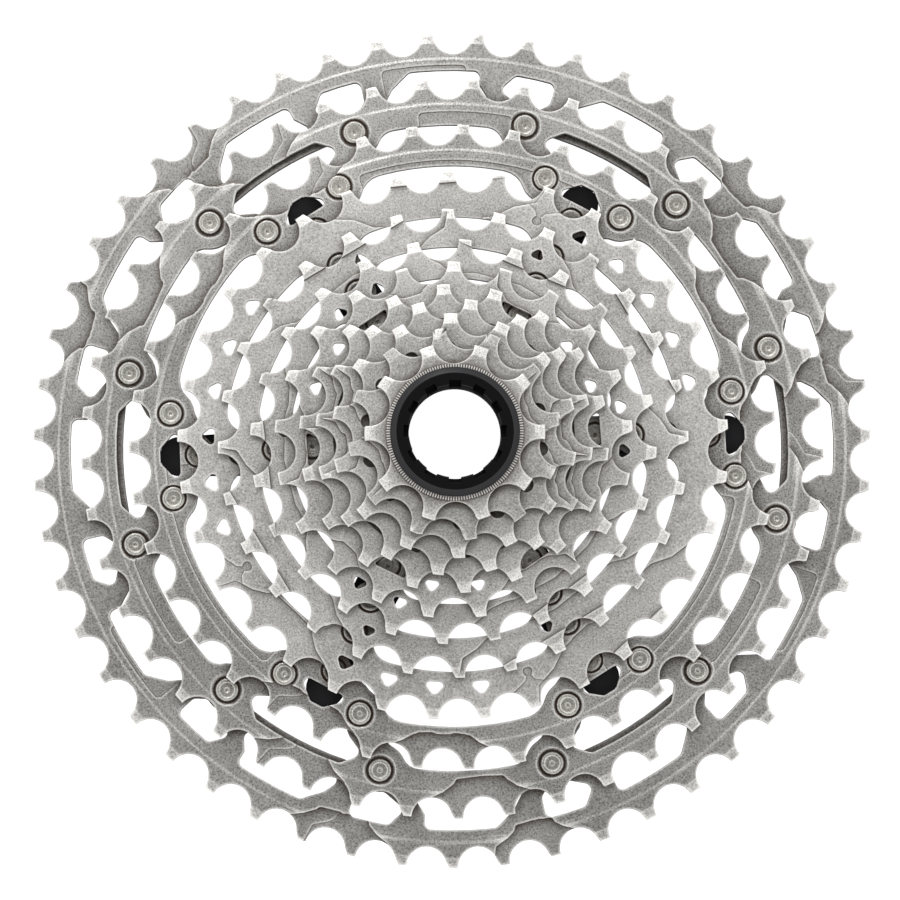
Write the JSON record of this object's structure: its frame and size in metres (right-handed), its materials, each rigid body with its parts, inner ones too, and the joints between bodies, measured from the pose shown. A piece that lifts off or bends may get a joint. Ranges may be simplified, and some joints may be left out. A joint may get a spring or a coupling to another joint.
{
  "type": "bicycle cassette",
  "caption": "Bicycle rear cassette: a stepped cone of toothed sprockets riveted to black spider arms on a splined bore, held by a lock ring.",
  "frame": {"origin": "on the bore's axis, in the plane of the back face of the largest wheel", "axes": "+Z runs along the bore towards the lock ring; +X runs along one spider arm"},
  "size_m": [0.2087, 0.2088, 0.0444],
  "materials": {
    "large_wheel_steel": "satin plated steel with a fine grain",
    "small_wheel_steel": "satin plated steel with a fine grain",
    "rivet_steel": "bright formed heads",
    "spacer_steel": "satin",
    "spider_black": "black anodised",
    "washer_steel": "satin, serrated edge",
    "lock_ring_black": "black satin"
  },
  "bodies": {
    "cassette": {"sprocket_51t": "large_wheel_steel", "sprocket_45t": "large_wheel_steel", "sprocket_39t": "large_wheel_steel", "sprocket_33t": "small_wheel_steel", "sprocket_28t": "small_wheel_steel", "sprocket_24t": "small_wheel_steel", "sprocket_21t": "small_wheel_steel", "sprocket_18t": "small_wheel_steel", "sprocket_16t": "small_wheel_steel", "sprocket_14t": "small_wheel_steel", "sprocket_12t": "small_wheel_steel", "sprocket_10t": "small_wheel_steel", "rear_spider": "spider_black", "front_spider": "spider_black", "outer_rivets": "rivet_steel", "inner_rivets": "rivet_steel", "arm_rivets_39t": "rivet_steel", "arm_rivets_33t": "rivet_steel", "arm_rivets_28t": "rivet_steel", "arm_rivets_24t": "rivet_steel", "spider_spacer": "spacer_steel", "spacer_21_18": "spacer_steel", "spacer_18_16": "spacer_steel", "spacer_16_14": "spacer_steel", "spacer_14_12": "spacer_steel"},
    "washer": {"lock_washer": "washer_steel"},
    "lock_ring": {"lock_ring": "lock_ring_black"}
  },
  "joints": [
    {"name": "lock_ring_travel", "type": "slide", "parent": "cassette", "child": "washer", "axis": [0, 0, 1], "range_m": [0, 0.006]},
    {"name": "lock_ring_turn", "type": "hinge", "parent": "washer", "child": "lock_ring", "pos_m": [0, 0, 0.042], "axis": [0, 0, 1], "range_deg": [0, 2160]}
  ],
  "couplings": [
    {"joint": "lock_ring_travel", "follows": "lock_ring_turn", "m_per_rad": 0.000159}
  ]
}
